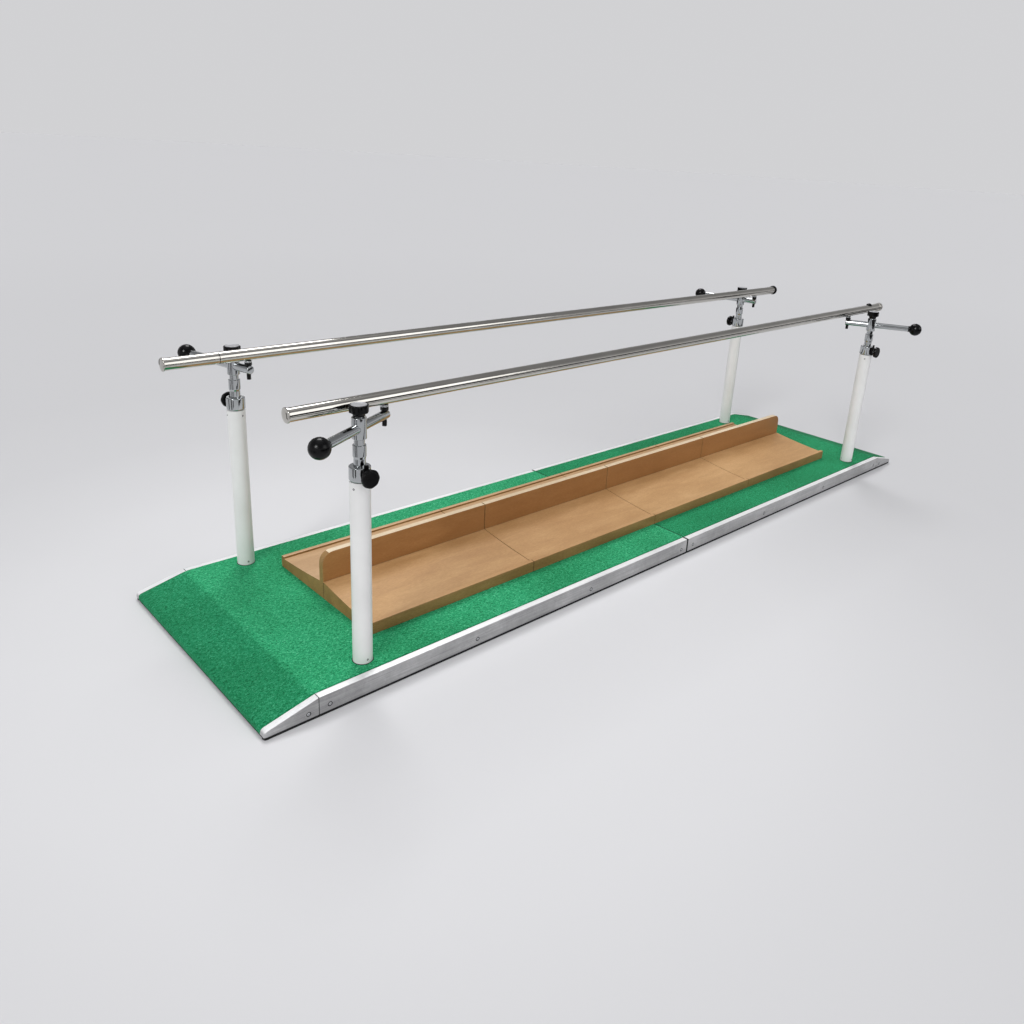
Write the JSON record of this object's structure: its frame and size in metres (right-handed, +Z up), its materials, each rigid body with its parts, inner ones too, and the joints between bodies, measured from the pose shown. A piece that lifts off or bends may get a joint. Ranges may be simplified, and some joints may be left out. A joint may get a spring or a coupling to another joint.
{
  "type": "walking parallel bars",
  "caption": "Gait-training parallel bars: ramped carpeted platform, height-adjustable posts with swivelling clamp arms, handrails, and a wooden leg board with a divider.",
  "frame": {"origin": "on the floor under the middle of the platform, on the underside of the rubber mat", "axes": "+X along the handrails towards the right end, +Y across towards the far row of posts, +Z up"},
  "size_m": [3.71, 1.2733, 0.885],
  "materials": {
    "carpet": "needle-felt, matte",
    "plywood": "bare plywood",
    "rubber": "matte",
    "trim": "satin extrusion",
    "enamel": "gloss white",
    "chrome": "polished",
    "stainless": "polished tube",
    "black_plastic": "gloss black",
    "black_steel": "black oxide",
    "beech": "satin lacquer"
  },
  "bodies": {
    "platform": {"rubber_mat": "rubber", "deck_left": "plywood", "deck_right": "plywood", "carpet_left": "carpet", "carpet_right": "carpet", "side_rail_near_left": "trim", "side_rail_near_right": "trim", "side_rail_far_left": "trim", "side_rail_far_right": "trim", "ramp_rail_near_left": "trim", "ramp_rail_near_right": "trim", "ramp_rail_far_left": "trim", "ramp_rail_far_right": "trim", "post_near_left": "enamel", "post_near_right": "enamel", "post_far_left": "enamel", "post_far_right": "enamel", "collar_near_left": "chrome", "collar_near_right": "chrome", "collar_far_left": "chrome", "collar_far_right": "chrome", "leg_board_near_1": "beech", "leg_board_near_2": "beech", "leg_board_near_3": "beech", "leg_board_near_4": "beech", "leg_board_far_1": "beech", "leg_board_far_2": "beech", "leg_board_far_3": "beech", "leg_board_far_4": "beech"},
    "mast_near_left": {"mast_near_left": "chrome"},
    "head_near_left": {"head_near_left": "chrome"},
    "top_knob_near_left": {"top_knob_near_left": "black_plastic"},
    "collar_knob_near_left": {"collar_knob_near_left": "black_plastic"},
    "arm_near_left": {"arm_near_left": "chrome", "arm_ball_near_left": "black_plastic", "pivot_bolt_near_left": "black_steel"},
    "mast_near_right": {"mast_near_right": "chrome"},
    "head_near_right": {"head_near_right": "chrome"},
    "top_knob_near_right": {"top_knob_near_right": "black_plastic"},
    "collar_knob_near_right": {"collar_knob_near_right": "black_plastic"},
    "arm_near_right": {"arm_near_right": "chrome", "arm_ball_near_right": "black_plastic", "pivot_bolt_near_right": "black_steel"},
    "mast_far_left": {"mast_far_left": "chrome"},
    "head_far_left": {"head_far_left": "chrome"},
    "top_knob_far_left": {"top_knob_far_left": "black_plastic"},
    "collar_knob_far_left": {"collar_knob_far_left": "black_plastic"},
    "arm_far_left": {"arm_far_left": "chrome", "arm_ball_far_left": "black_plastic", "pivot_bolt_far_left": "black_steel"},
    "mast_far_right": {"mast_far_right": "chrome"},
    "head_far_right": {"head_far_right": "chrome"},
    "top_knob_far_right": {"top_knob_far_right": "black_plastic"},
    "collar_knob_far_right": {"collar_knob_far_right": "black_plastic"},
    "arm_far_right": {"arm_far_right": "chrome", "arm_ball_far_right": "black_plastic", "pivot_bolt_far_right": "black_steel"},
    "handrail_near": {"handrail_near": "stainless"},
    "handrail_far": {"handrail_far": "stainless", "handrail_plug_far": "black_plastic"}
  },
  "joints": [
    {"name": "near_left_mast_lift", "type": "slide", "parent": "platform", "child": "mast_near_left", "axis": [0, 0, 1], "range_m": [-0.02, 0.3]},
    {"name": "near_left_head_swivel", "type": "hinge", "parent": "mast_near_left", "child": "head_near_left", "pos_m": [-1.495, -0.395, 0.774], "axis": [0, 0, 1], "range_deg": [-3.4, 20]},
    {"name": "near_left_arm_slide", "type": "slide", "parent": "head_near_left", "child": "arm_near_left", "axis": [0.891, 0.454, 0], "range_m": [-0.0046, 0.0266]},
    {"name": "near_left_top_knob_turn", "type": "hinge", "parent": "head_near_left", "child": "top_knob_near_left", "pos_m": [-1.495, -0.395, 0.838], "axis": [0, 0, 1], "continuous": true},
    {"name": "near_left_collar_knob_turn", "type": "hinge", "parent": "platform", "child": "collar_knob_near_left", "pos_m": [-1.495, -0.437, 0.671], "axis": [0, -1, 0], "continuous": true},
    {"name": "near_right_mast_lift", "type": "slide", "parent": "platform", "child": "mast_near_right", "axis": [0, 0, 1], "range_m": [-0.02, 0.3]},
    {"name": "near_right_head_swivel", "type": "hinge", "parent": "mast_near_right", "child": "head_near_right", "pos_m": [1.495, -0.395, 0.774], "axis": [0, 0, 1], "range_deg": [-8.45, 1.45]},
    {"name": "near_right_arm_slide", "type": "slide", "parent": "head_near_right", "child": "arm_near_right", "axis": [-0.4848, 0.8746, 0], "range_m": [-0.0107, 0.0629]},
    {"name": "near_right_top_knob_turn", "type": "hinge", "parent": "head_near_right", "child": "top_knob_near_right", "pos_m": [1.495, -0.395, 0.838], "axis": [0, 0, 1], "continuous": true},
    {"name": "near_right_collar_knob_turn", "type": "hinge", "parent": "platform", "child": "collar_knob_near_right", "pos_m": [1.495, -0.437, 0.671], "axis": [0, -1, 0], "continuous": true},
    {"name": "far_left_mast_lift", "type": "slide", "parent": "platform", "child": "mast_far_left", "axis": [0, 0, 1], "range_m": [-0.02, 0.3]},
    {"name": "far_left_head_swivel", "type": "hinge", "parent": "mast_far_left", "child": "head_far_left", "pos_m": [-1.495, 0.395, 0.774], "axis": [0, 0, 1], "range_deg": [-45, 15]},
    {"name": "far_left_arm_slide", "type": "slide", "parent": "head_far_left", "child": "arm_far_left", "axis": [0.2419, -0.9703, 0], "range_m": [-0.017, 0.182]},
    {"name": "far_left_top_knob_turn", "type": "hinge", "parent": "head_far_left", "child": "top_knob_far_left", "pos_m": [-1.495, 0.395, 0.838], "axis": [0, 0, 1], "continuous": true},
    {"name": "far_left_collar_knob_turn", "type": "hinge", "parent": "platform", "child": "collar_knob_far_left", "pos_m": [-1.495, 0.437, 0.671], "axis": [0, 1, 0], "continuous": true},
    {"name": "far_right_mast_lift", "type": "slide", "parent": "platform", "child": "mast_far_right", "axis": [0, 0, 1], "range_m": [-0.02, 0.3]},
    {"name": "far_right_head_swivel", "type": "hinge", "parent": "mast_far_right", "child": "head_far_right", "pos_m": [1.495, 0.395, 0.774], "axis": [0, 0, 1], "range_deg": [-45, 15]},
    {"name": "far_right_arm_slide", "type": "slide", "parent": "head_far_right", "child": "arm_far_right", "axis": [0.2419, -0.9703, 0], "range_m": [-0.017, 0.182]},
    {"name": "far_right_top_knob_turn", "type": "hinge", "parent": "head_far_right", "child": "top_knob_far_right", "pos_m": [1.495, 0.395, 0.838], "axis": [0, 0, 1], "continuous": true},
    {"name": "far_right_collar_knob_turn", "type": "hinge", "parent": "platform", "child": "collar_knob_far_right", "pos_m": [1.495, 0.437, 0.671], "axis": [0, 1, 0], "continuous": true},
    {"name": "near_handrail_pivot", "type": "hinge", "parent": "arm_near_left", "child": "handrail_near", "pos_m": [-1.37293, -0.3328, 0.836], "axis": [0, 0, 1], "range_deg": [-19.85, 3.4]},
    {"name": "far_handrail_pivot", "type": "hinge", "parent": "arm_far_left", "child": "handrail_far", "pos_m": [-1.47625, 0.3198, 0.836], "axis": [0, 0, 1], "range_deg": [-15, 45]}
  ],
  "couplings": [
    {"joint": "near_right_mast_lift", "follows": "near_left_mast_lift", "ratio": 1},
    {"joint": "far_right_mast_lift", "follows": "far_left_mast_lift", "ratio": 1},
    {"joint": "near_right_head_swivel", "follows": "near_left_head_swivel", "ratio": -0.4215},
    {"joint": "near_left_arm_slide", "follows": "near_left_head_swivel", "m_per_rad": 0.07591},
    {"joint": "near_right_arm_slide", "follows": "near_left_head_swivel", "m_per_rad": 0.18},
    {"joint": "near_handrail_pivot", "follows": "near_left_head_swivel", "ratio": -0.99145},
    {"joint": "far_right_head_swivel", "follows": "far_left_head_swivel", "ratio": 1},
    {"joint": "far_handrail_pivot", "follows": "far_left_head_swivel", "ratio": -1},
    {"joint": "far_right_arm_slide", "follows": "far_left_arm_slide", "ratio": 1}
  ]
}
